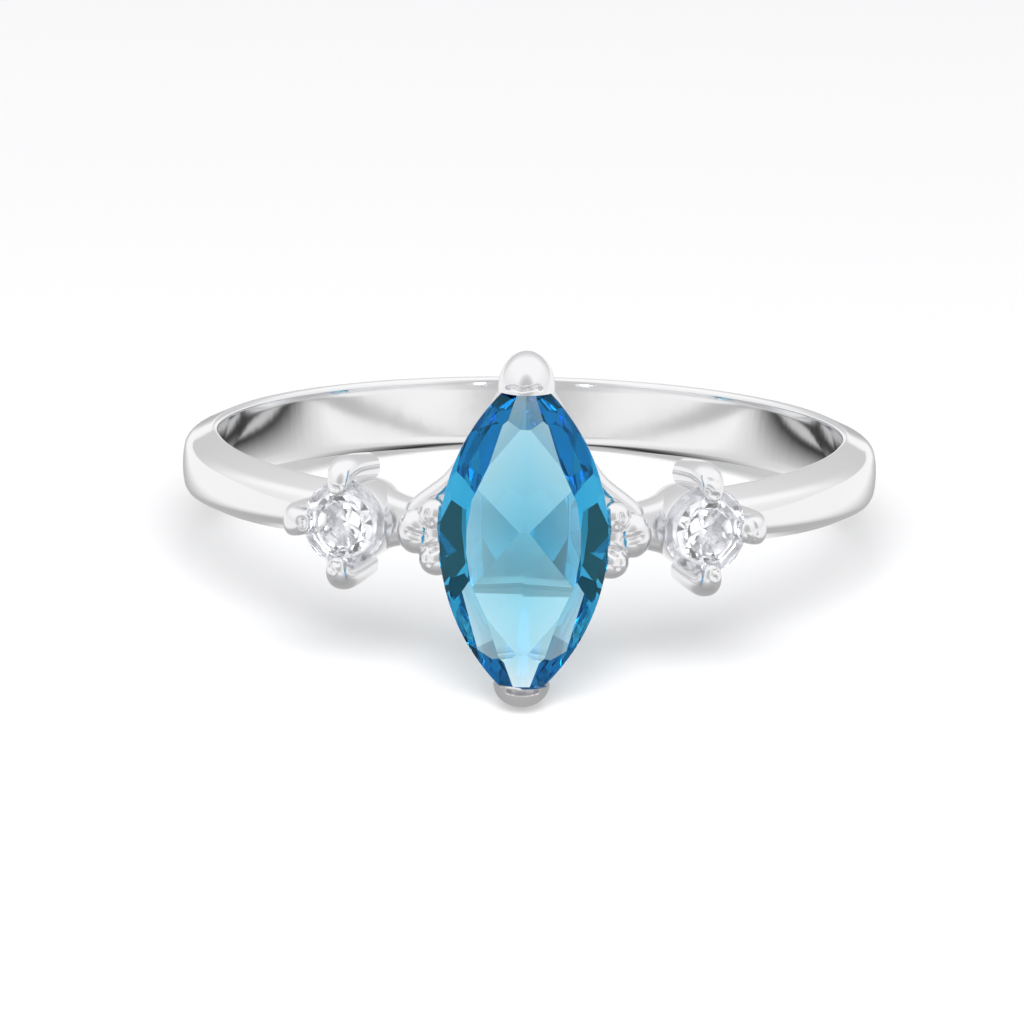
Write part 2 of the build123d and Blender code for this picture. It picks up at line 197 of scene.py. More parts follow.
def add_pair(mesh, name, seat, nodes, sharp=40):
    """The right-hand piece and its mirror image."""
    right = add_piece(mesh, f"right_{name}_finish", seat, [f"right_{node}" for node in nodes], sharp=sharp)
    left = add_piece(mesh, f"left_{name}_finish", MIRROR @ seat, [f"left_{node}" for node in nodes],
                     sharp=sharp)
    return [right, left]


METAL = []

# %% [markdown]
# ## Grinding the marquise
# A cutter starts from a blank with the outline of the stone, and grinds flats on it one by one. Each facet
# is a plane that meets the girdle, the table or the culet at a slope, and is repeated in the four quarters
# of the stone. A shallow pavilion leaves a window in the middle, with the colour gathered round it. Most of
# the heights, angles and slopes were settled by a computer search for the real stone's play of light and
# dark. They weren't measured, and another cut could show the same.

# %% Sizes of the cut
OUTLINE_ARC = (HALF_LENGTH ** 2 + HALF_WIDTH ** 2) / (2 * HALF_WIDTH)
GIRDLE = 0.12
CROWN = 0.59
PAVILION = 1.67
TABLE = 0.676
CROWN_MAINS = (0, 24.8, 90)
CROWN_STARS = (8.8, 39.6)
CROWN_HALVES = (8, 19, 35, 47)
HALF_STEEPNESS = 1.48
STAR_SLOPE = 0.23
PAVILION_FACETS = ((0, 1.126), (19.5, 1.196), (37.5, 0.591), (41.3, 0.524), (77.7, 0.726))
CULET_FACETS = ((0, 0.784), (45.4, 0.103), (90, 0.142))
print("crown", CROWN, "mm high, pavilion", PAVILION, "mm deep")


# %% Outline of the marquise
def outline_reach(angle):
    """Distance from the stone's centre to the line that touches the outline square to a direction."""
    fold = radians(abs((angle + 90) % 180 - 90))
    tip = atan2(HALF_LENGTH, OUTLINE_ARC - HALF_WIDTH)
    if fold > tip:
        return HALF_LENGTH * sin(fold)
    return OUTLINE_ARC - (OUTLINE_ARC - HALF_WIDTH) * cos(fold)


def quarters(angle):
    """The same direction in the four quarters of the stone."""
    return sorted({turn % 360 for turn in (angle, 180 - angle, 180 + angle, -angle)})


def make_blank():
    """Upright prism with the pointed outline, two arcs of many short sides."""
    tip = atan2(HALF_LENGTH, OUTLINE_ARC - HALF_WIDTH)
    bm = bmesh.new()
    corners = []
    for side in (1, -1):
        for step in range(48):
            turn = side * tip * (2 * step / 48 - 1)
            x = side * (OUTLINE_ARC * cos(turn) - (OUTLINE_ARC - HALF_WIDTH))
            corners.append(bm.verts.new((x, OUTLINE_ARC * sin(turn), -3)))
    base = bm.faces.new(corners)
    raised = bmesh.ops.extrude_face_region(bm, geom=[base])["geom"]
    bmesh.ops.translate(bm, verts=[item for item in raised if isinstance(item, bmesh.types.BMVert)],
                        vec=(0, 0, 6))
    bmesh.ops.recalc_face_normals(bm, faces=bm.faces)
    return bm


# %% Facets of the marquise
def grind(bm, angle, reach, height, rise, run):
    """Grinds one flat: its plane passes a point and climbs inwards (or down, where rise is negative)."""
    outward = Vector((cos(radians(angle)), sin(radians(angle)), 0))
    normal = outward * abs(rise) + Vector((0, 0, run if rise >= 0 else -run))
    geometry = bm.verts[:] + bm.edges[:] + bm.faces[:]
    ground = bmesh.ops.bisect_plane(bm, geom=geometry, dist=1e-6,
                                    plane_co=outward * reach + Vector((0, 0, height)),
                                    plane_no=normal, clear_outer=True)
    rim = [item for item in ground["geom_cut"] if isinstance(item, bmesh.types.BMEdge)]
    if len(rim) > 2:
        bmesh.ops.contextual_create(bm, geom=rim)


def make_marquise():
    """Crown mains and halves, star facets, table, pavilion and culet facets, in that order."""
    bm = make_blank()
    top = GIRDLE / 2
    table = top + CROWN
    culet = -top - PAVILION
    for angle in CROWN_MAINS + CROWN_HALVES:
        steepness = HALF_STEEPNESS if angle in CROWN_HALVES else 1
        for turn in quarters(angle):
            reach = outline_reach(turn)
            grind(bm, turn, reach, top, CROWN, reach * (1 - TABLE) / steepness)
    for angle in CROWN_STARS:
        for turn in quarters(angle):
            grind(bm, turn, outline_reach(turn) * TABLE, table, STAR_SLOPE, 1)
    grind(bm, 0, 0, table, 0, 1)
    for angle, slope in PAVILION_FACETS:
        for turn in quarters(angle):
            grind(bm, turn, outline_reach(turn), -top, -slope, 1)
    for angle, slope in CULET_FACETS:
        for turn in quarters(angle):
            grind(bm, turn, 0, culet, -slope, 1)
    return bm


marquise_mesh = bake(make_marquise())
MARQUISE = add_piece(marquise_mesh, "marquise_finish", CENTRE, ["marquise_stone"])
MARQUISE.data.shade_flat()
print("marquise", len(marquise_mesh.polygons), "facets")

# %% [markdown]
# ## Room for the stones
# Metal that holds a stone is cut to it. A copy of the stone's mesh, merged and grown by a few thousandths, is
# the cutter, so that glass and metal never share a surface, which would render as noise.


# %% Cutters with the shape of the stones
def stone_cutter(stone, seat, growth):
    """Cutter with the shape of a stone, in the frame of a seat."""
    mesh = stone.data.copy()
    mesh.transform((RING @ seat).inverted())
    bm = bmesh.new()
    bm.from_mesh(mesh)
    bpy.data.meshes.remove(mesh)
    bmesh.ops.remove_doubles(bm, verts=bm.verts, dist=1e-4)
    middle = sum((vertex.co for vertex in bm.verts), Vector()) / len(bm.verts)
    bmesh.ops.scale(bm, vec=(growth, growth, growth), space=Matrix.Translation(-middle), verts=bm.verts)
    return cutter(bm)


STONE_ROOM = 1.008
MARQUISE_ROOM = 1.003
ROUND = frame["nodes"]["right_side_stone"]
ROUND_ROOM = stone_cutter(ROUND, SIDE, STONE_ROOM)
print("cutters ready")

# %% [markdown]
# ## Shank
# The band is bored flat inside, with rounded edges for comfort, and its outer face is a low crown between two
# sloping shoulders. One section is drawn as a polygon, its corners are rounded with a vertex bevel, and it is
# spun round the bore. The transform afterwards narrows it towards the heads, as a jeweller files a band.

# %% Shank
SHANK_WALL = 1.0
SHANK_WIDTH = (2.18, 1.60)
RIDGE_WIDTH = (1.36, 0.80)
CROWN_RISE = 0.12
TAPER_FROM = 80.0


def taper(angle):
    """1 at the back of the shank, 0 at the heads, with a smooth run between."""
    return min(max((angle - HEAD_ANGLE) / (TAPER_FROM - HEAD_ANGLE), 0), 1)


def make_shank():
    """Section drawn on the bore, spun round it, and narrowed towards the heads."""
    outer = BORE_RADIUS + SHANK_WALL
    ridge = outer - CROWN_RISE
    bm = bmesh.new()
    half = SHANK_WIDTH[0] / 2
    crest = RIDGE_WIDTH[0] / 2
    points = [(BORE_RADIUS, -half), (BORE_RADIUS, half), (ridge, crest), (outer, 0), (ridge, -crest)]
    corners = [bm.verts.new((radius, 0, z)) for radius, z in points]
    bm.faces.new(corners)
    bmesh.ops.bevel(bm, geom=corners[:2], affect="VERTICES", offset=0.24, segments=8, profile=0.5, material=-1)
    ridges = [vertex for vertex in bm.verts if abs(vertex.co.x - ridge) < 1e-4]
    bmesh.ops.bevel(bm, geom=ridges, affect="VERTICES", offset=0.20, segments=5, profile=0.5, material=-1)
    crown = [vertex for vertex in bm.verts if abs(vertex.co.x - outer) < 1e-4]
    bmesh.ops.bevel(bm, geom=crown, affect="VERTICES", offset=0.40, segments=6, profile=0.5, material=-1)
    wall = [edge for edge in bm.edges if all(abs(v.co.x - BORE_RADIUS) < 1e-4 for v in edge.verts)]
    bmesh.ops.subdivide_edges(bm, edges=wall, cuts=7)
    bmesh.ops.rotate(bm, verts=bm.verts, matrix=Matrix.Rotation(radians(HEAD_ANGLE - 90), 3, "Z"))
    start = bm.faces[:]
    sweep = radians(360 - 2 * HEAD_ANGLE)
    bmesh.ops.spin(bm, geom=start, cent=(0, 0, 0), axis=(0, 0, 1), angle=sweep, steps=220)
    for vertex in bm.verts:
        angle = degrees(atan2(abs(vertex.co.x), -vertex.co.y))
        depth = min(max((Vector(vertex.co[:2]).length - BORE_RADIUS) / SHANK_WALL, 0), 1)
        head = (SHANK_WIDTH[1] / SHANK_WIDTH[0]) * (1 - depth) + (RIDGE_WIDTH[1] / RIDGE_WIDTH[0]) * depth
        vertex.co.z *= head + (1 - head) * taper(angle)
    return bm


def head_core(radius):
    """Cylinder on a side head's axis, in the ring's frame."""
    bm = bmesh.new()
    bmesh.ops.create_cone(bm, cap_ends=True, segments=64, radius1=radius, radius2=radius, depth=6, matrix=SIDE)
    return bm


left_core = head_core(1.0)
bmesh.ops.transform(left_core, matrix=MIRROR, verts=left_core.verts)
shank_mesh = bake(make_shank(), [cut(cutter(head_core(1.0)), "EXACT"), cut(cutter(left_core), "EXACT")])
METAL.append(add_piece(shank_mesh, "shank_finish", PLAIN, ["shank"]))
print("shank", len(shank_mesh.polygons), "faces")

# %% [markdown]
# ## Bars drawn along a path
# Claws, arms and bridges are bars that bend in one plane. A round face is pushed along the path step by step:
# each step extrudes the cap, drops the old cap, and transforms the new one to the next station. The last
# stations shrink to a dome. A subdivision surface then makes the bar look cast.


# %% Helper that draws a bar
def bezier_path(start, start_pull, end_pull, end, count):
    """Evenly parametrised points of a Bezier curve."""
    points = []
    for index in range(count + 1):
        t = index / count
        points.append(start * (1 - t) ** 3 + start_pull * 3 * t * (1 - t) ** 2
                      + end_pull * 3 * t * t * (1 - t) + end * t ** 3)
    return points


def station(point, ahead, side, width, height):
    """Matrix that puts a unit section at a point, its X along side and its Z ahead."""
    forward = ahead.normalized()
    up = forward.cross(side).normalized()
    turn = Matrix((side.normalized(), up, forward)).transposed().to_4x4()
    return Matrix.Translation(point) @ turn @ Matrix.Diagonal((width, height, 1, 1))


FOOT_RINGS = (0.02, 0.07)
DOME_RINGS = ((0.42, 0.90), (0.74, 0.66), (0.94, 0.34))


def draw_bar(path, side, sizes, dome=0.9, segments=12, squareness=0.0):
    """Bar along a path; sizes holds the half width along side and the half height at each point.

    The foot gets two more rings close to the first, so that it stays flat and crisp under a subdivision."""
    bm = bmesh.new()
    bmesh.ops.create_circle(bm, cap_ends=True, segments=segments, radius=1)
    if squareness:
        for vertex in bm.verts:
            reach = max(abs(vertex.co.x), abs(vertex.co.y))
            vertex.co *= 1 + squareness * (1 / reach - 1)
    placed = Matrix.Identity(4)
    cap = bm.faces[:][0]
    stations = []
    last = len(path) - 1
    for index, point in enumerate(path):
        ahead = path[min(index + 1, last)] - path[max(index - 1, 0)]
        stations.append(station(point, ahead, side, *sizes[index]))
        if index == 0:
            for gap in FOOT_RINGS:
                stations.append(station(point + ahead.normalized() * gap, ahead, side, *sizes[0]))
    tip = path[last]
    ahead = (path[last] - path[last - 1]).normalized()
    width, height = sizes[last]
    for lift, share in DOME_RINGS:
        rise = min(width, height) * dome * lift
        stations.append(station(tip + ahead * rise, ahead, side, width * share, height * share))
    for index, matrix in enumerate(stations):
        if index:
            extruded = bmesh.ops.extrude_face_region(bm, geom=[cap])["geom"]
            new_cap = [item for item in extruded if isinstance(item, bmesh.types.BMFace)][0]
            if index > 1:
                bmesh.ops.delete(bm, geom=[cap], context="FACES_ONLY")
            cap = new_cap
        bmesh.ops.transform(bm, matrix=matrix @ placed.inverted(), verts=cap.verts)
        placed = matrix
    return bm


SMOOTH = ("SUBSURF", {"levels": 2, "render_levels": 2})
FINE = ("SUBSURF", {"levels": 3, "render_levels": 3})

# %% [markdown]
# ## Tool marks
# A setter pushes metal over a stone and leaves soft creases where it folds. Each crease is a short line drawn
# over the front of a dense mesh: points near the line are pressed down, with a smooth fall-off.


# %% Helper that presses a crease
def away_from_line(x, y, line):
    """Distance from a point to a chain of straight runs."""
    nearest = 9.0
    for (x1, y1), (x2, y2) in zip(line, line[1:]):
        run_x, run_y = x2 - x1, y2 - y1
        share = min(max(((x - x1) * run_x + (y - y1) * run_y) / (run_x ** 2 + run_y ** 2), 0), 1)
        nearest = min(nearest, ((x - x1 - share * run_x) ** 2 + (y - y1 - share * run_y) ** 2) ** 0.5)
    return nearest


def press_line(mesh, line, width, depth, above):
    """Presses a crease along a line (in the piece's X and Y) into whatever lies higher than a level."""
    for vertex in mesh.vertices:
        if vertex.co.z > above:
            away = away_from_line(vertex.co.x, vertex.co.y, line) / width
            if away < 3:
                vertex.co.z -= depth * exp(-away * away)


# %% [markdown]
# ## Claws of the round stones
# Three bars stand on each side head: two beside the stone along the finger, and a wider pad on the shoulder
# of the shank. Each one leans out from its flat foot, passes the girdle and hooks in over the crown. No two
# are alike, because each was pushed over by hand, so every claw has its own crease.

# %% Claws of the round stones
STONE_RADIUS = 1.175
FOOT_Z = BORE_RADIUS + FOOT_GAP - SIDE_GIRDLE_RADIUS
ACROSS = Vector((1, 0, 0))
CREASE_FLOOR = 0.12


def make_claw(width, thickness, hook, rise):
    """Claw beside the stone on +Y; hook is its reach over the crown and rise the height of its tip."""
    half = thickness / 2
    stand = STONE_RADIUS - 0.14 + half
    foot = Vector((0, stand - 0.10, FOOT_Z + 0.30))
    neck = Vector((0, stand + 0.02, -0.10))
    tip = Vector((0, stand - hook, rise))
    lower = bezier_path(foot, foot.lerp(neck, 0.3), neck - Vector((0, 0.01, 0.5)), neck, 6)
    upper = bezier_path(neck, neck + Vector((0, 0.01, 0.30)), tip + Vector((0, 0.26, 0.06)), tip, 6)
    path = lower + upper[1:]
    sizes = []
    for index in range(len(path)):
        share = index / (len(path) - 1)
        swell = 1 + 0.05 * sin(pi * share)
        bulb = 1 - 0.22 * max(share - 0.55, 0) / 0.45
        sizes.append((width / 2 * swell * bulb, half * swell * bulb))
    return draw_bar(path, ACROSS, sizes, squareness=0.35)


def add_claw(side, name, turn, size, marks):
    """Bakes, creases and notches one claw, and sets it on the left or the right head."""
    facing = Matrix.Rotation(radians(turn), 4, "Z")
    skin = bake(make_claw(*size), [FINE])
    for line, width, depth in marks:
        press_line(skin, line, width, depth, CREASE_FLOOR)
    bm = bmesh.new()
    bm.from_mesh(skin)
    room = stone_cutter(ROUND, SIDE @ facing, STONE_ROOM)
    mesh = bake(bm, [cut(room)])
    seat = SIDE @ facing if side == "right" else MIRROR @ SIDE @ facing
    METAL.append(add_piece(mesh, f"{side}_{name}_finish", seat, [f"{side}_{name}"]))
    return mesh


UPPER_SIZE = (0.78, 0.78, 0.36, 0.38)
LOWER_SIZE = (0.76, 0.74, 0.34, 0.38)
PAD_SIZE = (0.92, 0.70, 0.34, 0.32)
SLANTED = ([(0.24, 1.36), (0.22, 1.20), (0.12, 1.08), (-0.02, 1.04)], 0.075, 0.075)
SHORT = ([(-0.20, 1.20), (-0.10, 1.08), (0.04, 1.04)], 0.075, 0.075)
SHOULDER = ([(-0.24, 1.50), (0.10, 1.38)], 0.09, 0.03)
CURL = ([(0.10, 1.00), (-0.06, 0.97), (-0.13, 1.10), (-0.02, 1.20)], 0.05, 0.06)
BACK_CURL = ([(-0.16, 0.98), (0.00, 1.00), (0.05, 1.12), (-0.06, 1.18)], 0.05, 0.06)
DENT = ([(-0.06, 1.00), (0.06, 0.98)], 0.09, 0.08)
WAVE = ([(-0.26, 1.16), (0.02, 1.24), (0.28, 1.14)], 0.08, 0.05)
CLAWS = (("left", "upper_claw", 0, UPPER_SIZE, [SLANTED]),
         ("right", "upper_claw", 0, UPPER_SIZE, [SHORT, SHOULDER]),
         ("left", "lower_claw", 180, LOWER_SIZE, [CURL]),
         ("right", "lower_claw", 180, LOWER_SIZE, [BACK_CURL]),
         ("left", "outer_claw", -90, PAD_SIZE, [DENT]),
         ("right", "outer_claw", -90, PAD_SIZE, [WAVE]))
for claw in CLAWS:
    claw_mesh = add_claw(*claw)
    print(claw[0], claw[1], len(claw_mesh.polygons), "faces")

# %% [markdown]
# ## Collets
# Under each round stone is a barrel-shaped cup, open through to the finger so that light reaches the stone.
# Its wall is a profile spun round the head's axis. A small round window is drilled towards the centre stone.


# %% Collets
COLLET_RIM_Z = -0.10
COLLET_RADII = (1.04, 1.19, 1.12)
COLLET_HOLE_RADIUS = 0.74
WINDOW_RADIUS = 0.17


def make_collet():
    """Barrel with a through-hole, spun from its wall's profile."""
    bm = bmesh.new()
    rim = COLLET_RIM_Z
    middle = (rim + FOOT_Z) / 2
    points = list(zip(COLLET_RADII, (FOOT_Z, middle, rim)))
    points += [(COLLET_HOLE_RADIUS, rim), (COLLET_HOLE_RADIUS, FOOT_Z)]
    corners = [bm.verts.new((radius, 0, z)) for radius, z in points]
    bm.faces.new(corners)
    waist = [vertex for vertex in bm.verts if abs(vertex.co.z - middle) < 1e-4]
    bmesh.ops.bevel(bm, geom=waist, affect="VERTICES", offset=0.6, segments=8, profile=0.5, material=-1)
    rims = [vertex for vertex in bm.verts if vertex.co.x > 1.1 and vertex.co.z > rim - 1e-4]
    bmesh.ops.bevel(bm, geom=rims, affect="VERTICES", offset=0.05, segments=3, profile=0.5, material=-1)
    bmesh.ops.spin(bm, geom=bm.faces[:], cent=(0, 0, 0), axis=(0, 0, 1), angle=2 * pi, steps=96,
                   use_merge=True)
    bmesh.ops.remove_doubles(bm, verts=bm.verts, dist=1e-5)
    inside = [face for face in bm.faces
              if abs(face.normal.z) < 1e-6 and abs(face.calc_center_median().y) < 1e-6]
    bmesh.ops.delete(bm, geom=inside, context="FACES_ONLY")
    return bm


def make_window():
    """Drill for the small side window, on the side of the centre stone."""
    bm = bmesh.new()
    bmesh.ops.create_cone(bm, cap_ends=True, segments=40, radius1=WINDOW_RADIUS, radius2=WINDOW_RADIUS,
                          depth=1.4)
    bmesh.ops.rotate(bm, verts=bm.verts, matrix=Matrix.Rotation(pi / 2, 3, "Y"))
    bmesh.ops.translate(bm, verts=bm.verts, vec=(-1.15, 0, -0.36))
    return bm


WINDOW = cutter(make_window())
collet_mesh = bake(make_collet(), [cut(ROUND_ROOM), cut(WINDOW)])
METAL += add_pair(collet_mesh, "collet", SIDE, ["collet"])
print("collet", len(collet_mesh.polygons), "faces")

# %% [markdown]
# ## Bridges
# A short neck joins each side head to the centre head. It is a bar with a soft square section, drawn on the
# arc of the ring, and it flares where it meets the cup, as the wax of a cast ring does.

# %% Bridges
BRIDGE_WALL = 1.15
BRIDGE_MIDDLE = BORE_RADIUS + FOOT_GAP + BRIDGE_WALL / 2
BRIDGE_ANGLES = (24.5, 13.0)
BRIDGE_STEPS = 10
ALONG = Vector((0, 0, 1))


def make_bridge():
    """Bar on the arc of the ring, from inside the side head to the centre head."""
    path = []
    sizes = []
    outer_angle, inner_angle = BRIDGE_ANGLES
    for index in range(BRIDGE_STEPS + 1):
        share = index / BRIDGE_STEPS
        path.append(ring_point(outer_angle - share * (outer_angle - inner_angle), BRIDGE_MIDDLE))
        flare = (1 - share) ** 3
        sizes.append((0.58 + 0.36 * flare, 0.575 + 0.12 * flare))
    return draw_bar(path, ALONG, sizes, dome=0.2, segments=16, squareness=0.55)


bridge_mesh = bake(make_bridge(), [SMOOTH, cut(cutter(head_core(0.84)))])
METAL += add_pair(bridge_mesh, "bridge", PLAIN, ["bridge"])
print("bridge", len(bridge_mesh.polygons), "faces")

# %% [markdown]
# ## Trefoils
# Beside the marquise, three petals on stems form a trefoil on each bridge. The petals are eggs, the stems
# are cones, and a fourth egg fills the heart between them. A voxel remesh joins them into one skin and a
# smooth pass melts their creases, like solder. Then each petal gets the soft furrow that a graver leaves.

# %% Trefoils
TREFOIL_X = 2.62
LOBE_TOP = 11.06
TREFOIL_ANGLE = degrees(atan2(TREFOIL_X, LOBE_TOP))
TREFOIL_SINK = 0.24
TREFOIL_ROOT = BORE_RADIUS + FOOT_GAP + BRIDGE_WALL - TREFOIL_SINK
TREFOIL_SEAT = stone_seat(TREFOIL_ANGLE, TREFOIL_ROOT, TREFOIL_ANGLE)
LOBE_HEIGHT = LOBE_TOP - TREFOIL_ROOT
PETALS = ((0, 0.48, 0.50, 0.62), (98, 0.50, 0.44, 0.47), (-101, 0.72, 0.46, 0.50))


def add_rod(bm, radius_low, radius_high, low, high, x, y):
    """Upright cone between two heights."""
    matrix = Matrix.Translation((x, y, (low + high) / 2))
    bmesh.ops.create_cone(bm, cap_ends=True, segments=32, radius1=radius_low, radius2=radius_high,
                          depth=high - low, matrix=matrix)


def make_trefoil():
    """Stems and eggs that overlap, still separate shells."""
    bm = bmesh.new()
    add_rod(bm, 0.60, 0.50, -0.2, LOBE_HEIGHT - 0.60, -0.02, -0.06)
    heart = Matrix.Translation((-0.06, -0.08, LOBE_HEIGHT - 0.62)) @ Matrix.Diagonal((0.52, 0.52, 0.50, 1))
    bmesh.ops.create_uvsphere(bm, u_segments=32, v_segments=24, radius=1, matrix=heart)
    for angle, reach, along, across in PETALS:
        x = reach * cos(radians(angle))
        y = reach * sin(radians(angle))
        add_rod(bm, along * 0.9, along, -0.15, LOBE_HEIGHT - along, x, y)
        egg = (Matrix.Translation((x, y, LOBE_HEIGHT - along)) @ Matrix.Rotation(radians(angle), 4, "Z")
               @ Matrix.Diagonal((along, across, along, 1)))
        bmesh.ops.create_uvsphere(bm, u_segments=40, v_segments=28, radius=1, matrix=egg)
    return bm


FURROWS = (([(0.16, -0.06), (0.34, -0.02), (0.56, 0.06)], 0.11, 0.09),
           ([(0.04, 0.62), (0.06, 0.46), (-0.04, 0.34)], 0.075, 0.09),
           ([(0.00, -0.44), (-0.16, -0.36)], 0.09, 0.09),
           ([(0.02, -0.62), (0.00, -0.80)], 0.08, 0.05))


def finish_trefoil(side):
    """Melts the shells into one, carves the furrows and cuts room for the marquise."""
    skin = bake(make_trefoil(), [("REMESH", {"mode": "VOXEL", "voxel_size": 0.026}),
                                 ("SMOOTH", {"factor": 0.5, "iterations": 6})])
    for line, width, depth in FURROWS:
        press_line(skin, line, width, depth, LOBE_HEIGHT - 0.45)
    melted = bmesh.new()
    melted.from_mesh(skin)
    room = stone_cutter(MARQUISE, TREFOIL_SEAT, MARQUISE_ROOM)
    mesh = bake(melted, [("SMOOTH", {"factor": 0.5, "iterations": 2}), cut(room)])
    seat = TREFOIL_SEAT if side == "right" else MIRROR @ TREFOIL_SEAT
    METAL.append(add_piece(mesh, f"{side}_trefoil_finish", seat, [f"{side}_trefoil"]))
    return mesh


finish_trefoil("left")
trefoil_mesh = finish_trefoil("right")
print("trefoil", len(trefoil_mesh.polygons), "faces")

# %% [markdown]
# ## Arms
# Four curved straps run under the girdle from the tip claws to the trefoils. They make the open gallery of
# the centre head. Each one is a bar a little taller than it is wide.


# %% Arms
ARM_TOP = Vector((0.32, HALF_LENGTH - 0.38, -0.64))
ARM_WAIST = Vector((1.24, 2.50, -0.80))
ARM_SECTION = (0.30, 0.22)


def make_arm(knee, foot):
    """Strap from the tip claw by its waist and its knee to its foot, as three curves that run on smoothly."""
    start = ARM_TOP.lerp(ARM_WAIST, 0.35) + Vector((0.05, 0.03, 0))
    upper = bezier_path(ARM_TOP, start, ARM_WAIST + Vector((-0.18, 0.42, 0)), ARM_WAIST, 7)
    middle = bezier_path(ARM_WAIST, ARM_WAIST + Vector((0.16, -0.36, 0)), knee + Vector((-0.22, 0.32, 0)),
                         knee, 5)
    lower = bezier_path(knee, knee + Vector((0.22, -0.32, 0)), foot + Vector((-0.30, 0.40, 0.05)), foot, 6)
    path = upper + middle[1:] + lower[1:]
    return draw_bar(path, ALONG, [ARM_SECTION] * len(path), dome=0.5, squareness=0.3)


upper_arm = bake(make_arm(Vector((1.92, 1.50, -0.84)), Vector((3.02, 0.50, -1.06))), [SMOOTH])
lower_arm = bake(make_arm(Vector((1.80, 1.42, -0.86)), Vector((2.30, 0.62, -0.92))), [SMOOTH])
FLIP_FINGER = Matrix.Scale(-1, 4, (0, 1, 0))
METAL += add_pair(upper_arm, "upper_arm", CENTRE, ["upper_arm"])
METAL += add_pair(lower_arm, "lower_arm", CENTRE @ FLIP_FINGER, ["lower_arm"])
print("arms", len(upper_arm.polygons), "and", len(lower_arm.polygons), "faces")

# %% [markdown]
# ## Tip claws
# A domed cap closes over each point of the marquise. A sphere is scaled to an egg, sliced flat where the lip
# crosses the stone, and the rim is bevelled. Creases are pressed into it: on the upper cap a faint arch with
# an S-shaped fold under it, and on the lower one a slit right behind the lip. The sphere is dense from the
# start, because a subdivision surface on the sliced cap didn't finish in good time.


# %% Tip claws
TIP_CLAW_DEPTH = 1.14
TIP_CREASE_FLOOR = 0.10


def make_tip_claw(overlap, wall, half_width, front):
    """Cap over the stone's +Y point; overlap is its reach over the stone, wall the metal past the point."""
    edge = HALF_LENGTH - overlap
    half_depth = (front + TIP_CLAW_DEPTH) / 2
    stretch = Matrix.Diagonal((half_width, overlap + wall, half_depth, 1))
    egg = Matrix.Translation((0, edge, front - half_depth)) @ stretch @ Matrix.Rotation(pi / 2, 4, "X")
    bm = bmesh.new()
    bmesh.ops.create_uvsphere(bm, u_segments=160, v_segments=110, radius=1, matrix=egg)
    geometry = bm.verts[:] + bm.edges[:] + bm.faces[:]
    sliced = bmesh.ops.bisect_plane(bm, geom=geometry, plane_co=(0, edge, 0), plane_no=(0, 1, 0),
                                    clear_inner=True)
    lip = [item for item in sliced["geom_cut"] if isinstance(item, bmesh.types.BMEdge)]
    bmesh.ops.contextual_create(bm, geom=lip)
    rim = [item for item in bm.edges if all(abs(v.co.y - edge) < 1e-5 for v in item.verts)]
    bmesh.ops.bevel(bm, geom=rim, affect="EDGES", offset=0.05, segments=4, profile=0.5, material=-1)
    return bm


def finish_tip_claw(name, seat, size, marks):
    """Bakes and creases one cap, cuts room for the marquise and sets it on its seat."""
    skin = bake(make_tip_claw(*size))
    for line, width, depth in marks:
        press_line(skin, line, width, depth, TIP_CREASE_FLOOR)
    bm = bmesh.new()
    bm.from_mesh(skin)
    mesh = bake(bm, [cut(stone_cutter(MARQUISE, seat, MARQUISE_ROOM))])
    METAL.append(add_piece(mesh, f"{name}_finish", seat, [name]))
    return mesh


ARCH = [(-0.50, 4.06), (-0.42, 4.40), (-0.22, 4.66), (0.04, 4.72), (0.26, 4.58), (0.40, 4.36), (0.46, 4.10)]
FOLD = [(-0.50, 4.10), (-0.34, 4.16), (-0.12, 4.11), (0.12, 4.15), (0.30, 4.19), (0.38, 4.13)]
SLIT = [(-0.42, 4.06), (-0.20, 4.09), (0.10, 4.09), (0.34, 4.06)]
HALF_TURN = Matrix.Rotation(pi, 4, "Z")
UPPER_CAP = (0.54, 0.52, 0.77, 0.635)
LOWER_CAP = (0.52, 0.11, 0.75, 0.635)
upper_tip = finish_tip_claw("upper_tip_claw", CENTRE, UPPER_CAP, [(ARCH, 0.10, 0.02), (FOLD, 0.05, 0.14)])
lower_tip = finish_tip_claw("lower_tip_claw", CENTRE @ HALF_TURN, LOWER_CAP, [(SLIT, 0.04, 0.26)])
clear_cutters()
print("tip claws", len(upper_tip.polygons), "and", len(lower_tip.polygons), "faces")

# %% [markdown]
# ## Polished metal
# Rhodium-plated silver is a near mirror with a cool white tone. Real polish isn't even: broad soft patches
# are a little duller, and there are hairlines from wear. A node group makes both from noise, and gives a
# colour, a roughness and a height that every metal material can use.


# %% Node helpers
def add_node(tree, kind, **settings):
    """New node with its settings."""
    node = tree.nodes.new(kind)
    for key, value in settings.items():
        setattr(node, key, value)
    return node


def add_range(tree, low, high, start, end, smooth=True):
    """Map Range node that goes from start to end while its input goes from low to high."""
    node = add_node(tree, "ShaderNodeMapRange", interpolation_type="SMOOTHSTEP" if smooth else "LINEAR")
    for name, value in (("From Min", low), ("From Max", high), ("To Min", start), ("To Max", end)):
        node.inputs[name].default_value = value
    return node


def join(tree, *links):
    """Wires nodes; each link is a node, its output, the next node and its input."""
    for source, output, target, entry in links:
        tree.links.new(source.outputs[output], target.inputs[entry])


def start_material(name):
    """New node material, its tree and its shader."""
    material = bpy.data.materials.new(name)
    material.use_nodes = True
    return material, material.node_tree, material.node_tree.nodes["Principled BSDF"]


def dress(pieces, material):
    """Gives pieces one material."""
    for piece in pieces:
        piece.data.materials.clear()
        piece.data.materials.append(material)


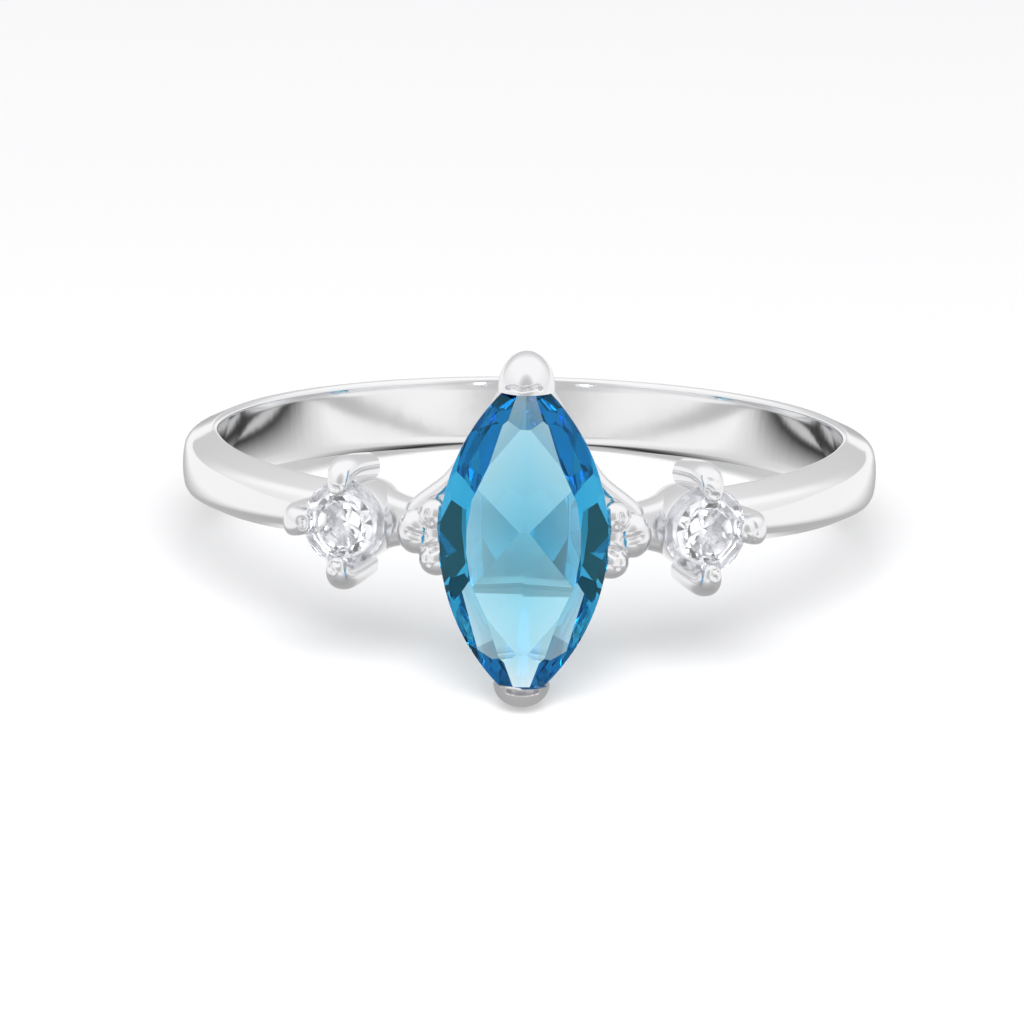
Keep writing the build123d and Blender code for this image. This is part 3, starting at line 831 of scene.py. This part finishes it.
# %% Polish and wear
def make_polish_group():
    """Node group: broad dull patches and fine hairlines."""
    group = bpy.data.node_groups.new("polish_and_wear", "ShaderNodeTree")
    face = group.interface
    for name, kind, value in (("Clean colour", "NodeSocketColor", (0.93, 0.93, 0.94, 1)),
                              ("Dull colour", "NodeSocketColor", (0.86, 0.86, 0.87, 1)),
                              ("Low roughness", "NodeSocketFloat", 0.05),
                              ("High roughness", "NodeSocketFloat", 0.12),
                              ("Patch scale", "NodeSocketFloat", 400.0),
                              ("Hairline scale", "NodeSocketFloat", 4000.0)):
        socket = face.new_socket(name, in_out="INPUT", socket_type=kind)
        socket.default_value = value
    face.new_socket("Colour", in_out="OUTPUT", socket_type="NodeSocketColor")
    face.new_socket("Roughness", in_out="OUTPUT", socket_type="NodeSocketFloat")
    face.new_socket("Height", in_out="OUTPUT", socket_type="NodeSocketFloat")
    inside = add_node(group, "NodeGroupInput")
    outside = add_node(group, "NodeGroupOutput")
    place = add_node(group, "ShaderNodeTexCoord")
    patches = add_node(group, "ShaderNodeTexNoise")
    patches.inputs["Detail"].default_value = 3
    stretch = add_node(group, "ShaderNodeMapping")
    stretch.inputs["Scale"].default_value = (1, 1, 0.12)
    hairlines = add_node(group, "ShaderNodeTexNoise")
    hairlines.inputs["Detail"].default_value = 2
    mix = add_node(group, "ShaderNodeMix", data_type="RGBA")
    rough = add_node(group, "ShaderNodeMapRange")
    height = add_node(group, "ShaderNodeMix", data_type="FLOAT")
    height.inputs["Factor"].default_value = 0.25
    join(group, (place, "Object", patches, "Vector"), (inside, "Patch scale", patches, "Scale"),
         (place, "Object", stretch, "Vector"), (stretch, "Vector", hairlines, "Vector"),
         (inside, "Hairline scale", hairlines, "Scale"), (patches, "Fac", mix, "Factor"),
         (inside, "Clean colour", mix, "A"), (inside, "Dull colour", mix, "B"),
         (patches, "Fac", rough, "Value"), (inside, "Low roughness", rough, "To Min"),
         (inside, "High roughness", rough, "To Max"), (patches, "Fac", height, "A"),
         (hairlines, "Fac", height, "B"), (mix, "Result", outside, "Colour"),
         (rough, "Result", outside, "Roughness"), (height, "Result", outside, "Height"))
    return group


POLISH = make_polish_group()
print("wear group with", len(POLISH.nodes), "nodes")


# %% Metal
def make_metal(name, clean, dull, low, high, bump):
    """Mirror metal with two tones, a range of roughness and a bump strength."""
    material, tree, shader = start_material(name)
    shader.inputs["Metallic"].default_value = 1
    wear = add_node(tree, "ShaderNodeGroup", node_tree=POLISH)
    wear.inputs["Clean colour"].default_value = (*clean, 1)
    wear.inputs["Dull colour"].default_value = (*dull, 1)
    wear.inputs["Low roughness"].default_value = low
    wear.inputs["High roughness"].default_value = high
    relief = add_node(tree, "ShaderNodeBump")
    relief.inputs["Strength"].default_value = bump
    relief.inputs["Distance"].default_value = 0.00002
    join(tree, (wear, "Colour", shader, "Base Color"), (wear, "Roughness", shader, "Roughness"),
         (wear, "Height", relief, "Height"), (relief, "Normal", shader, "Normal"))
    return material


SILVER = make_metal("rhodium_polish", (0.92, 0.92, 0.93), (0.87, 0.87, 0.88), 0.05, 0.11, 0.25)
CAST = make_metal("cast_polish", (0.90, 0.90, 0.91), (0.84, 0.84, 0.86), 0.10, 0.20, 0.5)
dress([piece for piece in METAL if piece.name.startswith("shank")], SILVER)
dress([piece for piece in METAL if not piece.name.startswith("shank")], CAST)
print(len(METAL), "metal pieces polished")

# %% [markdown]
# ## Stones
# Clear glass bends light at every facet, and what the bent light meets draws the pattern of the cut. The
# blue of the marquise comes from absorption inside it, so short paths look pale and long ones deep, as in a
# real stone, and its reflections are tinted too. Its index was settled by the same search as its cut. A
# faint cloud of tint on the surface stands for the colour zones of a natural crystal.


# %% Tint of a crystal
def make_tint_group():
    """Node group: a faint cloud of tint, and a trace of haze."""
    group = bpy.data.node_groups.new("crystal_tint", "ShaderNodeTree")
    face = group.interface
    for name, value in (("Pale", (1, 1, 1, 1)), ("Tinted", (0.9, 0.95, 1, 1))):
        face.new_socket(name, in_out="INPUT", socket_type="NodeSocketColor").default_value = value
    face.new_socket("Zone scale", in_out="INPUT", socket_type="NodeSocketFloat").default_value = 900
    face.new_socket("Colour", in_out="OUTPUT", socket_type="NodeSocketColor")
    face.new_socket("Roughness", in_out="OUTPUT", socket_type="NodeSocketFloat")
    inside = add_node(group, "NodeGroupInput")
    outside = add_node(group, "NodeGroupOutput")
    place = add_node(group, "ShaderNodeTexCoord")
    zones = add_node(group, "ShaderNodeTexNoise")
    mix = add_node(group, "ShaderNodeMix", data_type="RGBA")
    haze = add_node(group, "ShaderNodeMapRange")
    haze.inputs["To Max"].default_value = 0.004
    join(group, (place, "Object", zones, "Vector"), (inside, "Zone scale", zones, "Scale"),
         (zones, "Fac", mix, "Factor"), (inside, "Pale", mix, "A"), (inside, "Tinted", mix, "B"),
         (zones, "Fac", haze, "Value"), (mix, "Result", outside, "Colour"),
         (haze, "Result", outside, "Roughness"))
    return group


TINT = make_tint_group()
print("tint group with", len(TINT.nodes), "nodes")


# %% Stone materials
def make_stone(name, index, pale, tinted, zone_scale, gleam=(1, 1, 1), absorption=None, density=0.0):
    """Clear glass of an index; gleam tints its reflections, and absorption colours its inside."""
    material, tree, shader = start_material(name)
    shader.inputs["Metallic"].default_value = 0
    shader.inputs["Transmission Weight"].default_value = 1
    shader.inputs["IOR"].default_value = index
    shader.inputs["Specular Tint"].default_value = (*gleam, 1)
    tint = add_node(tree, "ShaderNodeGroup", node_tree=TINT)
    tint.inputs["Pale"].default_value = (*pale, 1)
    tint.inputs["Tinted"].default_value = (*tinted, 1)
    tint.inputs["Zone scale"].default_value = zone_scale
    join(tree, (tint, "Colour", shader, "Base Color"), (tint, "Roughness", shader, "Roughness"))
    if absorption:
        blue = add_node(tree, "ShaderNodeVolumeAbsorption")
        blue.inputs["Color"].default_value = (*absorption, 1)
        blue.inputs["Density"].default_value = density
        tree.links.new(blue.outputs["Volume"], tree.nodes["Material Output"].inputs["Volume"])
    return material


BLUE = make_stone("blue_crystal", 1.59, (1, 1, 1), (0.96, 0.99, 1), 500,
                  gleam=(0.25, 0.97, 0.97), absorption=(0.02, 0.70, 0.857), density=700)
CLEAR = make_stone("clear_crystal", 2.15, (1, 1, 1), (0.93, 0.95, 1), 1500)
dress([MARQUISE], BLUE)
dress([ROUND, frame["nodes"]["left_side_stone"]], CLEAR)
print("stones set")

# %% [markdown]
# ## Table top
# A wide pale floor that catches the ring's shadow. The camera sees it as nearly white. Polished metal sees
# it through Is Glossy Ray, and there it shows painted tones instead of its lit colour: painted white inside
# the ring, painted near-black shade under its back where the ring shades the floor, and painted grey round
# them.
# Without this painted shade a mirror finish in a white room has no contrast. Is Glossy Ray is also on for
# light that goes through glass, so a mirrored ray is a glossy one that isn't transmitted. The painted tones
# run from front to back through a colour ramp, and give way to soft grey beside the ring.

# %% Tones of the floor
# Painted tones that only mirrored rays see, from front to back in mm: painted grey in front, painted white
# inside the ring, painted near-black shade under its back, fading to painted grey beside the ring.
MIRROR_SHADE_TONES = ((-20, 1.0), (-15, 0.6), (-11, 0.42), (-7, 0.50), (-4, 0.96), (4.6, 1.0), (5.8, 0.74), (6.8, 0.32),
         (7.5, 0.04), (7.75, 0.04), (8.0, 0.6), (12, 0.8), (20, 1.0))
PAINTED_TONE_REACH = 20
PAINTED_TONE_EDGE = (0.0065, 0.0080)
BESIDE_RING = (0.0105, 0.0150)
BESIDE_SHADE_TONE = 0.50
GLAZED_TONE = 0.6
FLOOR_COLOUR = (0.55, 0.55, 0.56, 1)
FLOOR_GLOW = 0.38


def painted_mirror_tone(tree, path):
    """Output with the painted shade and light that a mirrored ray finds at a place on the floor."""
    place = add_node(tree, "ShaderNodeTexCoord")
    apart = add_node(tree, "ShaderNodeSeparateXYZ")
    spread = add_range(tree, -PAINTED_TONE_REACH / 1000, PAINTED_TONE_REACH / 1000, 0, 1, smooth=False)
    painted_tones = add_node(tree, "ShaderNodeValToRGB")
    while len(painted_tones.color_ramp.elements) < len(MIRROR_SHADE_TONES):
        painted_tones.color_ramp.elements.new(0.5)
    for element, (where, tone) in zip(painted_tones.color_ramp.elements, MIRROR_SHADE_TONES):
        element.position = (where + PAINTED_TONE_REACH) / (2 * PAINTED_TONE_REACH)
        element.color = (tone, tone, tone, 1)
    glazed = add_node(tree, "ShaderNodeMath", operation="MINIMUM")
    glazed.inputs[1].default_value = GLAZED_TONE
    softened = add_node(tree, "ShaderNodeMath", operation="MAXIMUM")
    sideways = add_node(tree, "ShaderNodeMath", operation="ABSOLUTE")
    beyond = add_range(tree, *PAINTED_TONE_EDGE, 0, 1)
    outside = add_range(tree, *BESIDE_RING, BESIDE_SHADE_TONE, 1)
    laid = add_node(tree, "ShaderNodeMix", data_type="FLOAT")
    join(tree, (place, "Object", apart, "Vector"), (apart, "Y", spread, "Value"),
         (spread, "Result", painted_tones, "Fac"), (path, "Transmission Depth", glazed, 0),
         (painted_tones, "Color", softened, 0), (glazed, "Value", softened, 1), (apart, "X", sideways, 0),
         (sideways, "Value", beyond, "Value"), (sideways, "Value", outside, "Value"),
         (beyond, "Result", laid, "Factor"), (softened, "Value", laid, "A"), (outside, "Result", laid, "B"))
    return laid.outputs["Result"]


print(len(MIRROR_SHADE_TONES), "tones from front to back")


# %% Floor material
def make_table_material():
    """Matt white that glows a little for the eye and for glass, and shows mirrored rays painted tones, not its
    lit colour.
    """
    material, tree, shader = start_material("white_table")
    shader.inputs["Roughness"].default_value = 0.9
    shader.inputs["Specular IOR Level"].default_value = 0
    shader.inputs["Emission Color"].default_value = (1, 1, 1, 1)
    path = add_node(tree, "ShaderNodeLightPath")
    mirrored = add_node(tree, "ShaderNodeMath", operation="GREATER_THAN")
    albedo = add_node(tree, "ShaderNodeMix", data_type="RGBA")
    albedo.inputs["A"].default_value = FLOOR_COLOUR
    albedo.inputs["B"].default_value = (0, 0, 0, 1)
    lit = add_node(tree, "ShaderNodeMath", operation="MAXIMUM")
    own = add_node(tree, "ShaderNodeMath", operation="MULTIPLY")
    own.inputs[1].default_value = FLOOR_GLOW
    glow = add_node(tree, "ShaderNodeMix", data_type="FLOAT")
    join(tree, (path, "Is Glossy Ray", mirrored, 0), (path, "Is Transmission Ray", mirrored, 1),
         (mirrored, "Value", albedo, "Factor"), (albedo, "Result", shader, "Base Color"),
         (path, "Is Camera Ray", lit, 0), (path, "Is Transmission Ray", lit, 1), (lit, "Value", own, 0),
         (mirrored, "Value", glow, "Factor"), (own, "Value", glow, "A"))
    # Mirrored rays see no lamp light here, only the painted shade and light of the floor tones, as glow.
    tree.links.new(painted_mirror_tone(tree, path), glow.inputs["B"])
    join(tree, (glow, "Result", shader, "Emission Strength"))
    return material


# %% Floor plate
FLOOR_HALF_SIZE = 1.5
FLOOR_CLEARANCE = 0.00002


def make_floor():
    """Plate just under the ring's lowest point."""
    bm = bmesh.new()
    bmesh.ops.create_grid(bm, x_segments=1, y_segments=1, size=FLOOR_HALF_SIZE)
    bmesh.ops.translate(bm, verts=bm.verts, vec=(0, 0, CAD_BOX[0].z - FLOOR_CLEARANCE))
    mesh = bpy.data.meshes.new("floor")
    bm.to_mesh(mesh)
    bm.free()
    mesh.materials.append(make_table_material())
    floor = bpy.data.objects.new("floor", mesh)
    bpy.context.scene.collection.objects.link(floor)
    return floor


make_floor()
print("floor", 2 * FLOOR_HALF_SIZE, "m wide")

# %% [markdown]
# ## Surround
# The room is white to the camera. In a mirror it is a soft gradient, a little dimmer low in front and
# behind, so that rounded metal shows its form. Glass sees white with the dark of the room in front, where a
# person would stand, and that dark gives the deep facets. Light that a matt surface gathers from the room is
# turned down, because the lamps do that work.

# %% Surround
def dim_towards(tree, elevation, dark_angle, clear_angle, darkest, front=-1):
    """Output that is darkest in a cone in front of the ring (or behind it), and 1 outside the cone."""
    aim = add_node(tree, "ShaderNodeVectorMath", operation="DOT_PRODUCT")
    aim.inputs[1].default_value = (0, front * cos(radians(elevation)), sin(radians(elevation)))
    shade = add_range(tree, cos(radians(clear_angle)), cos(radians(dark_angle)), 1, darkest)
    place = add_node(tree, "ShaderNodeTexCoord")
    join(tree, (place, "Generated", aim, 0), (aim, "Value", shade, "Value"))
    return shade.outputs["Result"]


FRONT_DIP = {"elevation": 22, "dark_angle": 6, "clear_angle": 44, "darkest": 0.58}
BACK_DIP = {"elevation": 4, "dark_angle": 20, "clear_angle": 62, "darkest": 0.72, "front": 1}
GLASS_DARK = {"elevation": 6, "dark_angle": 32, "clear_angle": 40, "darkest": 0.10}
MATT_SHARE = 0.24


def make_world():
    """White to the camera; in reflections a soft gradient; through glass white with a dark front."""
    world = bpy.data.worlds.new("studio")
    bpy.context.scene.world = world
    world.use_nodes = True
    tree = world.node_tree
    surround = tree.nodes["Background"]
    surround.inputs["Color"].default_value = (1, 1, 1, 1)
    path = add_node(tree, "ShaderNodeLightPath")
    place = add_node(tree, "ShaderNodeTexCoord")
    apart = add_node(tree, "ShaderNodeSeparateXYZ")
    climb = add_range(tree, -0.05, 0.70, 0.90, 1.06)
    join(tree, (place, "Generated", apart, "Vector"), (apart, "Z", climb, "Value"))
    tent = add_node(tree, "ShaderNodeMath", operation="MULTIPLY")
    both = add_node(tree, "ShaderNodeMath", operation="MULTIPLY")
    tree.links.new(dim_towards(tree, **FRONT_DIP), both.inputs[0])
    tree.links.new(dim_towards(tree, **BACK_DIP), both.inputs[1])
    join(tree, (climb, "Result", tent, 0), (both, "Value", tent, 1))
    diffuse = add_range(tree, 0, 1, 1, MATT_SHARE, smooth=False)
    join(tree, (path, "Is Diffuse Ray", diffuse, "Value"))
    mirrored = add_node(tree, "ShaderNodeMix", data_type="FLOAT")
    join(tree, (path, "Is Glossy Ray", mirrored, "Factor"), (diffuse, "Result", mirrored, "A"),
         (tent, "Value", mirrored, "B"))
    through = add_node(tree, "ShaderNodeMix", data_type="FLOAT")
    join(tree, (path, "Is Transmission Ray", through, "Factor"), (mirrored, "Result", through, "A"))
    tree.links.new(dim_towards(tree, **GLASS_DARK), through.inputs["B"])
    join(tree, (through, "Result", surround, "Strength"))


make_world()
print("surround set")

# %% [markdown]
# ## Lamps
# A broad key light hangs above the camera and throws the soft shadow behind the ring. Two weak ones open up
# the sides. All of them are hidden from mirrored rays, because their sharp square reflections would spoil
# the polish.


# %% Lamps
def add_softbox(name, place, width, height, power):
    """Soft lamp that faces the ring, without its own reflection in the polish."""
    light = bpy.data.lights.new(name, "AREA")
    light.shape = "RECTANGLE"
    light.size = width
    light.size_y = height
    light.energy = power
    lamp = bpy.data.objects.new(name, light)
    lamp.location = place
    lamp.rotation_euler = (-Vector(place)).to_track_quat("-Z", "Y").to_euler()
    lamp.visible_glossy = False
    bpy.context.scene.collection.objects.link(lamp)
    return lamp


SOFTBOXES = (("key_box", (0.0, -0.21, 0.26), 0.24, 0.22, 1.38),
             ("left_box", (-0.30, 0.05, 0.18), 0.16, 0.20, 0.12),
             ("right_box", (0.30, 0.05, 0.18), 0.16, 0.20, 0.12))
for name, place, width, height, power in SOFTBOXES:
    add_softbox(name, place, width, height, power)
    print(name, power, "W")

# %% [markdown]
# ## Camera
# A long lens from a few hands away, about 21 degrees above the table, almost square on to the centre stone.
# It aims at a point close to the ring's middle, which places the ring in the frame without lens shift.

# %% Camera
CAMERA_DISTANCE = 0.300
ELEVATION = 20.918
AZIMUTH = 0.716
ROLL = 0.844
AIM = Vector((-0.000456, -0.000463, -0.001196))
FOCAL_LENGTH = 382.1


def make_camera():
    """Camera that looks at the aim from a distance, turned by three angles."""
    data = bpy.data.cameras.new("camera")
    data.lens = FOCAL_LENGTH
    data.sensor_width = 36
    data.clip_start = 0.01
    data.clip_end = 10
    camera = bpy.data.objects.new("camera", data)
    view = (Matrix.Rotation(radians(ROLL), 4, "Y") @ Matrix.Rotation(radians(ELEVATION), 4, "X")
            @ Matrix.Rotation(radians(-AZIMUTH), 4, "Z"))
    place = view.inverted() @ Vector((0, -CAMERA_DISTANCE, 0))
    camera.matrix_world = Matrix.Translation(place + AIM) @ view.inverted() @ Matrix.Rotation(pi / 2, 4, "X")
    bpy.context.scene.collection.objects.link(camera)
    bpy.context.scene.camera = camera
    return camera


camera = make_camera()
print("camera", round(camera.location.length, 3), "m away,", FOCAL_LENGTH, "mm lens")

# %% [markdown]
# ## Light paths
# A ray may bounce many times inside a cut stone before it leaves, and each bounce that Cycles gives up on
# turns black. Stones therefore get more bounces than the default. Standard keeps colours as they are
# written.

# %% Light paths
STONE_BOUNCES = 24
METAL_BOUNCES = 12
scene = bpy.context.scene
scene.view_settings.view_transform = "Standard"
scene.cycles.max_bounces = STONE_BOUNCES
scene.cycles.transmission_bounces = STONE_BOUNCES
scene.cycles.glossy_bounces = METAL_BOUNCES
print("up to", STONE_BOUNCES, "bounces")
